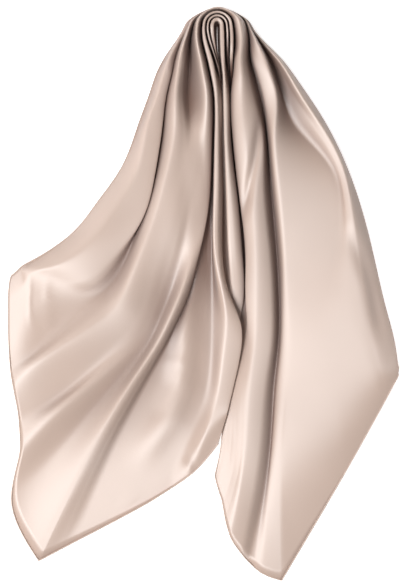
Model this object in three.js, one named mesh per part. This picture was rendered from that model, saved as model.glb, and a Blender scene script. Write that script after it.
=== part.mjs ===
// A long satin scarf, laid flat: gathered in nested pleats at its middle, bent over into a narrow arch,
// with both ends let down side by side and fanned out.
//
// The cloth is one wall that follows a sheet surface. The surface is drawn by folds, lines that run
// along the cloth, and by sections, lines that run across it. Each section says where every fold
// crosses it and how high the cloth stands there. Between them the surface is worked out.
//
// Millimetres, +Z up. The tables are measured from the centre of the arch, with +Y pointing over it
// and the ends of the scarf towards -Y. The finished group has its origin under the middle of its box.
import * as THREE from 'three';

// ---- driving dimensions ------------------------------------------------------------------------

const WALL = 1.0;             // thickness of the cloth wall
const HEM_WALL = 1.8;         // thickness over the rolled hem at both ends
const HEM_WIDTH = 5;          // how far the rolled hem reaches in from the end
const SEAM_GAP = 0.5;         // space between two stretches of the cloth, which narrows to 0.3 at its edges
const ARCH_STEP = 9;          // distance between rows of points round the arch
const FALL_STEP = 38;         // distance between rows of points down the two falls
const ARCH_ROWS = 3;          // sections worked out between the top of the arch and each spring
const LEAST_MITRE = 0.6;      // limits how far a wall's face moves out at a sharp fold
const MARGIN_DROP = 3;        // how much lower the very edge of the cloth lies than its outer edge fold
const PLEAT_ROUNDING = 0.8;   // 0 leaves the deep inner pleats pointed, 1 makes their tops fully round

const SATIN = { color: 0xd9c8bc, roughness: 0.42, metalness: 0.0 };

// ---- folds -------------------------------------------------------------------------------------

// One row for each fold line, from the outer edge of the arch to the hole in its middle.
// top and height are its distance above the arch centre and its height at the top of the arch,
// bend is the shape of its arch (2 is an ellipse, less is more pointed), and steps is the number of
// facets between this fold and the next. Deep pleats have round tops.
const FOLDS = [
  { name: 'margin',        top: 27.0, height: 1,    bend: 1.6, steps: 2 },
  { name: 'outer edge',    top: 27.5, height: 4,    bend: 1.6, steps: 2 },
  { name: 'outer crest',   top: 29.5, height: 8,    bend: 1.6, steps: 2 },
  { name: 'outer lip',     top: 29.0, height: 10,   bend: 1.6, steps: 1 },
  { name: 'outer valley',  top: 28.6, height: 13,   bend: 1.6, steps: 3, deep: true },
  { name: 'panel crest',   top: 30.2, height: 20,   bend: 1.6, steps: 1 },
  { name: 'panel flank',   top: 29.9, height: 23,   bend: 1.62, steps: 1 },
  { name: 'pocket',        top: 29.6, height: 26,   bend: 1.6, steps: 2 },
  { name: 'band flank',    top: 29.8, height: 32,   bend: 1.62, steps: 2 },
  { name: 'band crest',    top: 27.8, height: 40,   bend: 1.85, steps: 3 },
  { name: 'band lip',      top: 25.4, height: 28,   bend: 1.9, steps: 1 },
  { name: 'band under',    top: 25.1, height: 20,   bend: 1.9, steps: 1 },
  { name: 'first valley',  top: 24.4, height: 15,   bend: 1.95, steps: 4, deep: true },
  { name: 'second crest',  top: 21.8, height: 38,   bend: 2.0, steps: 4, deep: true },
  { name: 'second valley', top: 19.1, height: 15,   bend: 2.0, steps: 3, deep: true },
  { name: 'third crest',   top: 16.6, height: 36,   bend: 2.0, steps: 3, deep: true },
  { name: 'third valley',  top: 14.1, height: 15,   bend: 2.0, steps: 3, deep: true },
  { name: 'inner crest',   top: 11.7, height: 34,   bend: 2.0, steps: 3, deep: true },
  { name: 'inner edge',    top: 2.4,  height: 1.5,  bend: 2.0, steps: 0 },
];

// ---- sections ----------------------------------------------------------------------------------

// One entry for each section, from the spring of the arch down to the end hem. A straight section
// runs from outer to inner, and x gives where each fold from the outer edge to the inner edge crosses
// it. A curved section gives y as well. z is the height of the middle of the cloth, and where it is 0
// or less the cloth lies flat on the surface. margin is the plan point of the very edge of the cloth,
// which is turned under all down the right side. corner is the fold at a corner of the cut.
const LEFT_SECTIONS = [
  { margin: [-51, 0], outer: [-52, 0], inner: [-2, 0],
    x: [-52, -49.5, -47.4, -46, -42.6, -39, -37.6, -35.6, -30.8,
      -26.2, -25.6, -24.4, -20.8, -17.2, -14.7, -12.2, -8.4, -2],
    z: [4, 9, 10.5, 12, 29, 18, 6, 22, 40, 28, 20, 14, 38, 14, 36, 14, 34, 1.5] },
  { margin: [-83, -50], outer: [-81, -50], inner: [0.8, -50],
    x: [-81, -74, -66.2, -66.8, -57.8, -49.5, -43, -36.3, -28.1,
      -18.9, -18.4, -17.6, -11.3, -4.8, -2.5, -0.9, 0.4, 1.5],
    z: [4, 22, 14, 6, 33, 20, 2, 16, 39, 26, 18, 12, 37, 15, 26, 17, 19, 4] },
  { margin: [-95, -74], outer: [-92, -74], inner: [4.6, -74],
    x: [-92, -82, -71.4, -73, -61, -51, -43.8, -34, -24.4,
      -13.6, -13.2, -12.6, -5.6, 1.5, 3.6, 4.8, 5, 4.8],
    z: [4, 24, 15, 5, 34, 21, 2, 15, 39, 26, 18, 11, 37, 17.5, 19, 14.5, 10, 3] },
  { margin: [-103, -97], outer: [-100, -97], inner: [6, -97],
    x: [-100, -88, -77, -79.5, -64, -53, -44.5, -32, -21,
      -9.2, -8.8, -8, -1.6, 6, 5, 3, 0.5, -3],
    z: [4, 26, 15, 5, 35, 20, 4, 18, 38, 25, 17, 9, 36, 18, 12, 7, 4, 2] },
  { margin: [-121, -147], outer: [-118, -147], inner: [7.8, -175],
    x: [-118, -106, -85.3, -89, -65, -51.5, -40.6, -29.7, -19.2,
      -8.3, -7.8, -7, 0.8, 7.8, 5.6, 3, 0.4, -2.4],
    z: [4, 28, 17, 4, 35, 29, 24, 26, 29, 22, 15, 5, 34, 17, 12, 9, 7, 6] },
  { margin: [-147, -215], outer: [-144, -215], inner: [8.3, -276],
    x: [-144, -122, -97.5, -101, -80.1, -62, -49.4, -36.4, -22,
      -12.2, -11.6, -10.2, 0, 8.3, 6, 3, 0.4, -2.6],
    z: [4, 28, 18, 6, 33, 30, 27, 24, 21, 17, 10, 2, 32, 17, 12, 9, 7, 6] },
  { margin: [-189, -276],
    x: [-186, -158, -119.5, -122, -101.7, -80, -64, -51, -34,
      -26.5, -25.8, -13.4, 3, 13.5, 11.4, 8, 4.2, 0.4],
    y: [-277, -290, -306, -305, -315, -324, -331, -337, -345,
      -348, -348.5, -357, -378, -398, -397, -395, -392, -388],
    z: [4, 27, 17, 7, 30, 27, 23, 18, 20, 16, 7, 0, 30, 18, 13, 11, 9.5, 8.5] },
  { margin: [-230, -325], outer: [-228, -327], inner: [37.5, -467],
    x: [-228, -200, -162, -148, -127.5, -103, -86, -72, -57.1,
      -48.5, -45, -8.3, 20.3, 37.5, 36, 33, 29, 24],
    z: [4, 24, 15, 7, 25, 20, 14, 11, 25, 15, 0, -2, 27, 19, 15.4, 14.2, 13.2, 12.8] },
  { margin: [-274, -356], outer: [-272, -358], inner: [33.4, -525],
    x: [-272, -246, -203, -176, -148, -118, -103, -91, -78,
      -70, -66, -6, 18.5, 33.4, 31.5, 28.5, 24.5, 20],
    z: [3, 20, 14, 6, 22, 15, 11, 7, 23, 14, 0, -2, 22, 16, 12.4, 11.2, 10.4, 10] },
  { margin: [-296, -368], outer: [-294, -371], inner: [21, -580],
    x: [-294, -279, -240, -204, -172, -138, -122, -109, -97.6,
      -90, -85, -10, 9, 21, 19, 16, 12, 7.5],
    z: [2, 14, 11, 6, 19, 12, 10, 5, 21, 13, 0, -2, 17, 13, 9.8, 8.8, 8, 7.6] },
  { margin: [-310, -378],
    x: [-308.6, -301.6, -294, -283, -265, -242.2, -226.6, -207.8, -181.3,
      -167.2, -154.7, -56, -18, 12.5, 11, 8.5, 5, 1],
    y: [-381, -406, -453, -503, -514, -572, -581, -614, -633,
      -640.6, -645, -653, -640, -614, -616, -619, -622, -626],
    z: [0, 8, 8, 4, 14, 5, 14, 3, 17, 11, 0, -2, 12, 10, 6.4, 5.2, 4.4, 4] },
  { margin: [-321, -388], corner: 9,
    x: [-323, -326, -326, -323.4, -318.7, -310, -307, -321.5, -278.5,
      -249.5, -223, -96, -33, 1.6, -0.5, -3.5, -7.5, -12],
    y: [-392, -425, -472, -528, -559, -609, -654.7, -736, -833.5,
      -818, -804, -735.5, -691, -650, -652.5, -655.5, -658.5, -662],
    z: [0, 3, 2.5, 0, 7, 1, 9, 0, 0, 0, 0, -1, 5, 8, 3.6, 2, 0, 0] },
];

const RIGHT_SECTIONS = [
  { margin: [53.5, 0], outer: [55.5, 0], inner: [2, 0],
    x: [55.5, 54, 53, 52, 49.8, 47.2, 46.3, 44.8, 36,
      27.4, 26.6, 25.6, 21.6, 17.6, 15.4, 12.8, 7.4, 2],
    z: [5, 11, 13, 15, 28, 18, 9, 24, 40, 28, 20, 14, 38, 14, 36, 14, 34, 1.5] },
  { margin: [97, -50], outer: [101, -50], inner: [3.4, -50],
    x: [101, 94, 87, 81.5, 73, 57.8, 54, 47, 36,
      27.4, 27, 26.2, 21.8, 18.9, 16.6, 14.2, 8.9, 3.4],
    z: [5, 22, 12, 4, 34, 24, 3, 20, 39, 27, 18, 12, 33, 18, 21, 14, 36, 2] },
  { margin: [113, -74], outer: [119.5, -74], inner: [7, -74],
    x: [119.5, 111, 101, 91, 81.5, 65.6, 61.5, 48, 37,
      25.4, 25.6, 25.6, 22, 20, 18.5, 17.2, 11.4, 7],
    z: [5, 24, 12, 3, 35, 24, 2, 18, 39, 26, 15, 7, 13.5, 8, 10, 10.5, 36, 2] },
  { margin: [128, -97], outer: [135.5, -97], inner: [6.4, -97],
    x: [135.5, 124.5, 113, 99, 89, 72, 68, 50.5, 36.5,
      22.4, 23, 25, 23.4, 21.2, 18.9, 19.2, 13, 6.4],
    z: [5, 25, 13, 3, 34, 23, 1, 15, 37, 24, 13, 5, 2.4, 1.5, 3, 15, 35, 2] },
  { margin: [154, -150], outer: [168, -147], inner: [6.6, -172],
    x: [168, 154, 140, 124.5, 90, 80, 76.8, 69, 42,
      24.2, 24.8, 27, 25, 23, 21, 21.4, 14.8, 6.6],
    z: [5, 25, 17, 8, 32, 20, 1, 22, 36, 22, 12, 4.5, 2.2, 1.5, 3, 17, 33, 2] },
  { margin: [178, -222], outer: [202, -216], inner: [6, -269],
    x: [202, 195, 188, 178, 97, 87, 84, 70.5, 54,
      34.2, 35, 37, 35, 33, 31, 31.4, 21, 6],
    z: [5, 25, 23, 18, 28, 16, 0, 26, 32, 18, 10.5, 4.5, 2.2, 1.5, 3, 15, 29, 2] },
  { margin: [197, -330], outer: [236.5, -323], inner: [7, -365],
    x: [236.5, 216, 204, 188, 107, 98, 94.5, 80, 58,
      44.4, 45.2, 47, 44.6, 42, 39.4, 39.8, 27.3, 7],
    z: [5, 29, 27, 24, 22, 14, 0, 18, 31, 17, 9, 4, 2.2, 1.5, 3, 13, 22, 2] },
  { margin: [201, -430], outer: [261, -428], inner: [14, -433],
    x: [261, 232, 210, 172, 110, 101, 97.5, 80, 62.5,
      45, 46.2, 48, 45.6, 42.6, 39.6, 40, 29.7, 14],
    z: [5, 26, 27, 25.5, 19, 12, 0, 13, 29, 15, 8.5, 4, 2.2, 1.5, 2.6, 6, 8, 1.5] },
  { margin: [200, -480], outer: [275, -481], inner: [16, -495],
    x: [275, 242, 218, 172, 112, 100, 96, 77, 60,
      47.6, 44, 41, 37, 32, 29, 26, 22, 16],
    z: [5, 22, 24, 23, 16.5, 10, 0, 9, 28, 14, 8, 4.5, 3, 2.5, 3, 3.5, 3.5, 2] },
  { margin: [196, -503], outer: [282, -522], inner: [12, -577],
    x: [282, 254, 233, 180, 109, 96, 92, 73, 51,
      38, 34, 30.5, 27.5, 24.5, 22, 19.5, 16.5, 12],
    z: [5, 17, 19, 18.5, 13.5, 8, 0, 6, 27, 14, 8.5, 6, 4.5, 3.5, 3.2, 3, 2.8, 2] },
  { margin: [192, -516],
    x: [284, 264.5, 249, 198, 105.5, 89, 84.5, 63, 43,
      33, 30, 27, 23, 20, 16.5, 13, 9.5, 6],
    y: [-532, -559, -578, -631, -690, -692, -692, -690, -686,
      -681, -679, -677, -674, -671, -668, -664, -660, -655],
    z: [5, 11, 12.5, 13, 11, 7, 0, 4, 23, 13, 9, 7.5, 5.5, 4.5, 3.6, 3.2, 2.8, 2.2] },
  { margin: [190, -530], corner: 5,
    x: [283, 272.5, 257.5, 204, 101, 76.6, 58.8, 45.3, 21.9,
      12.2, 10.3, 8.6, 6.5, 4, 2, 0, -2, -3.5],
    y: [-541, -563, -591, -687.5, -864, -855, -842, -829.5, -797,
      -764, -753, -743, -735, -728, -721, -714, -707, -700],
    z: [4, 8, 8.5, 6, 0, 2.5, 0, 2, 13, 7, 5, 4, 3.5, 3, 2, 1, 0, 0] },
];

// ---- interpolation -----------------------------------------------------------------------------

// Slopes of a curve that passes through the values without overshooting them.
function steadySlopes(values) {
  const last = values.length - 1;
  const rise = values.slice(1).map((value, i) => value - values[i]);
  const slopes = new Array(values.length).fill(0);
  for (let i = 1; i < last; i++) {
    if (rise[i - 1] * rise[i] > 0) {
      slopes[i] = 2 / (1 / rise[i - 1] + 1 / rise[i]);
    }
  }
  slopes[0] = endSlope(rise[0], rise[Math.min(1, rise.length - 1)]);
  slopes[last] = endSlope(rise[last - 1], rise[Math.max(last - 2, 0)]);
  return slopes;
}

function endSlope(near, far) {
  const slope = 1.5 * near - 0.5 * far;
  return slope * near <= 0 ? 0 : slope;
}

// Value at a place measured in folds, from the values at the folds and the slopes there.
function between(values, slopes, place) {
  const i = Math.min(Math.floor(place), values.length - 2);
  const t = place - i;
  const keep = (1 + 2 * t) * (1 - t) * (1 - t);
  const lift = t * (1 - t) * (1 - t);
  const drop = t * t * (t - 1);
  return values[i] * keep + values[i + 1] * (1 - keep) + slopes[i] * lift + slopes[i + 1] * drop;
}

// Values along the folds at each place, with a break in direction at the corner fold if one is given.
function acrossFolds(values, places, corner) {
  if (corner === undefined) {
    const slopes = steadySlopes(values);
    return places.map((place) => between(values, slopes, place));
  }
  const before = values.slice(0, corner + 1);
  const after = values.slice(corner);
  const beforeSlopes = steadySlopes(before);
  const afterSlopes = steadySlopes(after);
  return places.map((place) => (place <= corner
    ? between(before, beforeSlopes, place)
    : between(after, afterSlopes, place - corner)));
}

// Smooth curve through values at uneven stations: the bending at each station, for curveAt below.
function bendingOf(stations, values) {
  const count = stations.length;
  const bending = new Array(count).fill(0);
  const ratio = new Array(count).fill(0);
  const load = new Array(count).fill(0);
  for (let i = 1; i < count - 1; i++) {
    const before = stations[i] - stations[i - 1];
    const after = stations[i + 1] - stations[i];
    const turn = 6 * ((values[i + 1] - values[i]) / after - (values[i] - values[i - 1]) / before);
    const pivot = 2 * (before + after) - before * ratio[i - 1];
    ratio[i] = after / pivot;
    load[i] = (turn - before * load[i - 1]) / pivot;
  }
  for (let i = count - 2; i > 0; i--) {
    bending[i] = load[i] - ratio[i] * bending[i + 1];
  }
  return bending;
}

function curveAt(stations, values, bending, at) {
  let i = 0;
  while (i < stations.length - 2 && at > stations[i + 1]) {
    i++;
  }
  const span = stations[i + 1] - stations[i];
  const a = (stations[i + 1] - at) / span;
  const b = (at - stations[i]) / span;
  const bow = ((a ** 3 - a) * bending[i] + (b ** 3 - b) * bending[i + 1]) * span * span / 6;
  return a * values[i] + b * values[i + 1] + bow;
}

// ---- the sheet surface -------------------------------------------------------------------------

// Places across the cloth where points are worked out, in folds, with steps facets after each fold.
// Two lists: where the plan position is read and where the height is read. In the deep pleats the
// plan moves on first and the height later, which rounds their tops and bottoms.
function placesAcross() {
  const plan = [];
  const height = [];
  FOLDS.forEach((fold, index) => {
    const steps = Math.max(fold.steps, 1);
    for (let step = 0; step < steps; step++) {
      const t = step / steps;
      const shift = fold.deep && fold.steps ? PLEAT_ROUNDING * Math.sin(2 * Math.PI * t) / (2 * Math.PI) : 0;
      plan.push(index + t + shift);
      height.push(index + t - shift);
    }
  });
  return { plan, height };
}

// Points of one section of the tables.
function sectionRow(section, places) {
  const along = (x) => {
    const share = (x - section.outer[0]) / (section.inner[0] - section.outer[0]);
    return section.outer[1] + share * (section.inner[1] - section.outer[1]);
  };
  const xs = [section.margin[0], ...section.x];
  const ys = [section.margin[1], ...(section.y ?? section.x.map(along))];
  const zs = [section.z[0] - MARGIN_DROP, ...section.z];
  const x = acrossFolds(xs, places.plan, section.corner);
  const y = acrossFolds(ys, places.plan, section.corner);
  const z = acrossFolds(zs, places.height, section.corner);
  return x.map((value, i) => new THREE.Vector3(value, y[i], z[i]));
}

// Points of a section of the arch, a share (0 at its top, 1 at its spring) of the way round.
function archRow(spring, side, share, places) {
  const turn = share * Math.PI / 2;
  const mix = Math.sin(turn) ** 4;
  const reach = acrossFolds([spring.margin[0], ...spring.x], places.plan);
  const tops = acrossFolds(FOLDS.map((fold) => fold.top), places.plan);
  const bends = acrossFolds(FOLDS.map((fold) => fold.bend), places.plan);
  const topHeight = acrossFolds(FOLDS.map((fold) => fold.height), places.height);
  const springHeight = acrossFolds([spring.z[0] - MARGIN_DROP, ...spring.z], places.height);
  return reach.map((value, i) => new THREE.Vector3(
    side * Math.abs(value) * Math.sin(turn) ** (2 / bends[i]),
    tops[i] * Math.cos(turn) ** (2 / bends[i]),
    topHeight[i] * (1 - mix) + springHeight[i] * mix,
  ));
}

// The whole sheet: its rows from the left end to the right end, and their stations, which are the
// mean distances between them.
function sheetSurface() {
  const places = placesAcross();
  const rows = LEFT_SECTIONS.map((section) => sectionRow(section, places)).reverse();
  const leftSpring = rows.length - 1;
  for (let i = ARCH_ROWS; i > 0; i--) {
    rows.push(archRow(LEFT_SECTIONS[0], -1, i / (ARCH_ROWS + 1), places));
  }
  rows.push(archRow(RIGHT_SECTIONS[0], 1, 0, places));
  for (let i = 1; i <= ARCH_ROWS; i++) {
    rows.push(archRow(RIGHT_SECTIONS[0], 1, i / (ARCH_ROWS + 1), places));
  }
  const rightSpring = rows.length;
  rows.push(...RIGHT_SECTIONS.map((section) => sectionRow(section, places)));

  const stations = [0];
  for (let i = 1; i < rows.length; i++) {
    const steps = rows[i].map((point, j) => point.distanceTo(rows[i - 1][j]));
    stations.push(stations[i - 1] + steps.reduce((sum, step) => sum + step, 0) / steps.length);
  }
  const columns = rows[0].map((_, j) => ['x', 'y', 'z'].map((axis) => {
    const values = rows.map((row) => row[j][axis]);
    return { values, bending: bendingOf(stations, values) };
  }));
  const pointAt = (station, j) => {
    const [x, y, z] = columns[j].map(({ values, bending }) => curveAt(stations, values, bending, station));
    return new THREE.Vector3(x, y, Math.max(z, WALL / 2));
  };
  return { stations, leftSpring, rightSpring, across: rows[0].length, pointAt };
}

const sheet = sheetSurface();

// ---- the wall ----------------------------------------------------------------------------------

// Outward direction of the facets on one side of a point: the next ones across, or the last ones.
function facetNormal(station, j, step) {
  const first = sheet.stations[0];
  const last = sheet.stations.at(-1);
  const along = sheet.pointAt(Math.min(station + 1, last), j);
  along.sub(sheet.pointAt(Math.max(station - 1, first), j));
  const over = sheet.pointAt(station, j + step).sub(sheet.pointAt(station, j));
  return along.cross(over).normalize().multiplyScalar(-step);
}

// Where the face of a wall goes from a point of the sheet, for a wall of unit half thickness. At a
// fold it is longer, so that the facets on both sides of the fold keep their thickness.
function facing(station, j) {
  if (j === 0) {
    return facetNormal(station, j, 1);
  }
  if (j === sheet.across - 1) {
    return facetNormal(station, j, -1);
  }
  const before = facetNormal(station, j, -1);
  const after = facetNormal(station, j, 1);
  const stretched = Math.max(1 + before.dot(after), LEAST_MITRE);
  return before.add(after).divideScalar(stretched);
}

function wallAt(station) {
  const toEnd = Math.min(station - sheet.stations[0], sheet.stations.at(-1) - station);
  return toEnd < HEM_WIDTH / 2 ? HEM_WALL : WALL;
}

// A closed wall over the sheet between two stations, flat underneath where it lies on the surface.
function stretch(name, stations) {
  const rows = stations.length;
  const across = sheet.across;
  const positions = [];
  for (const side of [1, -1]) {
    for (const station of stations) {
      const wall = wallAt(station);
      for (let j = 0; j < across; j++) {
        const point = sheet.pointAt(station, j);
        const face = facing(station, j).multiplyScalar(side);
        point.addScaledVector(face, wall / 2);
        point.z = Math.max(point.z, wall * Math.min(Math.max(face.z, 0), 1));
        positions.push(point.x, point.y, point.z);
      }
    }
  }
  const upper = (i, j) => i * across + j;
  const lower = (i, j) => rows * across + i * across + j;
  const faces = [];
  const quad = (a, b, c, d) => faces.push(a, b, c, a, c, d);
  for (let i = 0; i < rows - 1; i++) {
    for (let j = 0; j < across - 1; j++) {
      quad(upper(i, j), upper(i, j + 1), upper(i + 1, j + 1), upper(i + 1, j));
      quad(lower(i, j), lower(i + 1, j), lower(i + 1, j + 1), lower(i, j + 1));
    }
    quad(upper(i, 0), upper(i + 1, 0), lower(i + 1, 0), lower(i, 0));
    quad(upper(i + 1, across - 1), upper(i, across - 1), lower(i, across - 1), lower(i + 1, across - 1));
  }
  for (let j = 0; j < across - 1; j++) {
    quad(upper(0, j + 1), upper(0, j), lower(0, j), lower(0, j + 1));
    quad(upper(rows - 1, j), upper(rows - 1, j + 1), lower(rows - 1, j + 1), lower(rows - 1, j));
  }
  const geometry = new THREE.BufferGeometry();
  geometry.setAttribute('position', new THREE.Float32BufferAttribute(positions, 3));
  geometry.setIndex(faces);
  const mesh = new THREE.Mesh(geometry, new THREE.MeshStandardMaterial(SATIN));
  mesh.name = name;
  return mesh;
}

// Stations of the rows of points from one section to another, with each span between two sections
// divided into equal steps of at most the given size.
function rowStations(from, to, step) {
  const rows = [sheet.stations[from]];
  for (let i = from; i < to; i++) {
    const span = sheet.stations[i + 1] - sheet.stations[i];
    const count = Math.ceil(span / step);
    for (let k = 1; k <= count; k++) {
      rows.push(sheet.stations[i] + span * k / count);
    }
  }
  return rows;
}

const leftSeam = sheet.leftSpring - 3;
const rightSeam = sheet.rightSpring + 3;
const lastSection = sheet.stations.length - 1;

const leftRows = rowStations(0, leftSeam, FALL_STEP);
leftRows[leftRows.length - 1] -= SEAM_GAP;
leftRows.splice(1, 0, leftRows[0] + HEM_WIDTH);

const rightRows = rowStations(rightSeam, lastSection, FALL_STEP);
rightRows[0] += SEAM_GAP;
rightRows.splice(-1, 0, rightRows.at(-1) - HEM_WIDTH);

const scarf = new THREE.Group();
scarf.add(stretch('left_fall', leftRows));
scarf.add(stretch('crown', rowStations(leftSeam, rightSeam, ARCH_STEP)));
scarf.add(stretch('right_fall', rightRows));

// The origin goes under the middle of the whole part, on the surface that it lies on.
const box = new THREE.Box3().setFromObject(scarf);
const middle = box.getCenter(new THREE.Vector3());
scarf.position.set(-middle.x, -middle.y, -box.min.z);
scarf.updateMatrixWorld(true);

export default scarf;
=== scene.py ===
"""Long satin scarf, laid flat: gathered in nested pleats at its middle, bent over in a narrow arch, and
let down on both sides with its ends fanned out. One panel of satin with a rolled and stitched hem.

The cloth is one sheet. Fold lines run along it and sections run across it. Each section says where every
fold crosses it and how high the cloth stands there, in millimetres from the centre of the arch.
"""

from __future__ import annotations

import logging
import math
from collections.abc import Sequence
from dataclasses import dataclass, field
from enum import Enum

import bmesh
import bpy
import numpy as np
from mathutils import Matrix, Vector

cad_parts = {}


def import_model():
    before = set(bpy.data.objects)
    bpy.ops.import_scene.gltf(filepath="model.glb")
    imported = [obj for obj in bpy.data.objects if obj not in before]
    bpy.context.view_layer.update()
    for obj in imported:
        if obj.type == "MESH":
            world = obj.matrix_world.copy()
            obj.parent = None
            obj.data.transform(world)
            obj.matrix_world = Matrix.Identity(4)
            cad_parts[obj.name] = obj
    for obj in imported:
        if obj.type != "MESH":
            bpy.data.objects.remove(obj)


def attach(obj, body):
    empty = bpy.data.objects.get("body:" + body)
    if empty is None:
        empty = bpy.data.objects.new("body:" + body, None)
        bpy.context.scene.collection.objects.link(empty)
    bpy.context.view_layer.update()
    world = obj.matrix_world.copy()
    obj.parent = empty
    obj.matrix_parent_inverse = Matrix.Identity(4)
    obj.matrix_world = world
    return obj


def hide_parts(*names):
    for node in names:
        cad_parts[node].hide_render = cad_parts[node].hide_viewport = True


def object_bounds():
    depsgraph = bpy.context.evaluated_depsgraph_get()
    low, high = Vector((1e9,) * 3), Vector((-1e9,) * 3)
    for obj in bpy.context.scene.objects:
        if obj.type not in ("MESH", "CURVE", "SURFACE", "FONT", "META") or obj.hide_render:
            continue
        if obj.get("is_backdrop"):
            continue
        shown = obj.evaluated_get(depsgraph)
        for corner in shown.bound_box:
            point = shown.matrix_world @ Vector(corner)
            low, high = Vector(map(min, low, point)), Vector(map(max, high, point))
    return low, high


LOG = logging.getLogger("scarf")

MM = 0.001  # metres in a millimetre
HALF_GRID = 0.5  # half the width of a new flat grid, before its vertices are put in their places
SAME_PLACE = 1e-8  # m, within which two vertices are one
NOISE_LOW, NOISE_HIGH = 0.3, 0.7  # between which most values of a noise texture lie
WAVE_FACTOR = 10  # by which a wave texture multiplies places, besides its scale
WALL = 0.7  # mm, the satin and the air between its layers
MARGIN_DROP = 3  # mm by which the very edge of the cloth lies lower than the outer edge fold
CUT_MAP = "cut"  # UV map that says where each point is on the flat cloth
PAINTED_SHADE = "hollow"  # attribute that says how much painted shade each point takes, from how far it is shut in between folds


# ---- the cut and the drape -------------------------------------------------------------------------------


class Side(Enum):
    """The two halves of the scarf, each with its direction from the top of the arch."""

    LEFT = -1
    RIGHT = 1


@dataclass(frozen=True)
class Fold:
    """One fold line, which runs along the cloth from end to end.

    top and height are its distance above the arch centre and its height at the top of the arch, bend is
    the shape of its arch (2 is an ellipse, less is more pointed), and columns is the number of facets from
    it to the next fold. Deep pleats have round tops.
    """

    name: str
    top: float
    height: float
    bend: float
    columns: int
    deep: bool = False


@dataclass(frozen=True)
class Section:
    """One line across the cloth, from the outer edge to the inner edge.

    x holds where each fold from the outer edge on crosses it, z the height of the cloth there, and y its
    place along the fall where the section is curved. A straight one runs from outer to inner. margin is
    the plan point of the very edge of the cloth, and corner is the fold at a corner of the cut.
    """

    margin: tuple[float, float]
    x: tuple[float, ...]
    z: tuple[float, ...]
    outer: tuple[float, float] | None = None
    inner: tuple[float, float] | None = None
    y: tuple[float, ...] | None = None
    corner: int | None = None


FOLDS = (
    Fold("margin", 27.0, 1, 1.6, 2),
    Fold("outer edge", 27.5, 4, 1.6, 10),
    Fold("outer crest", 29.5, 8, 1.6, 9),
    Fold("outer lip", 29.0, 10, 1.6, 4),
    Fold("outer valley", 28.6, 11, 1.6, 14),
    Fold("panel crest", 30.2, 20, 1.6, 9),
    Fold("panel flank", 29.9, 23, 1.62, 7),
    Fold("pocket", 29.6, 26, 1.6, 7),
    Fold("band flank", 29.8, 32, 1.62, 8),
    Fold("band crest", 27.8, 40, 1.85, 13),
    Fold("band lip", 25.4, 28, 1.9, 3),
    Fold("band under", 25.1, 20, 1.9, 12),
    Fold("first valley", 24.4, 8, 1.95, 15, deep=True),
    Fold("second crest", 21.8, 38, 2.0, 11, deep=True),
    Fold("second valley", 19.1, 8, 2.0, 8, deep=True),
    Fold("third crest", 16.6, 36, 2.0, 8, deep=True),
    Fold("third valley", 14.1, 8, 2.0, 8, deep=True),
    Fold("inner crest", 11.7, 34, 2.0, 8, deep=True),
    Fold("inner edge", 1.4, 1.5, 2.0, 0),
)

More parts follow.
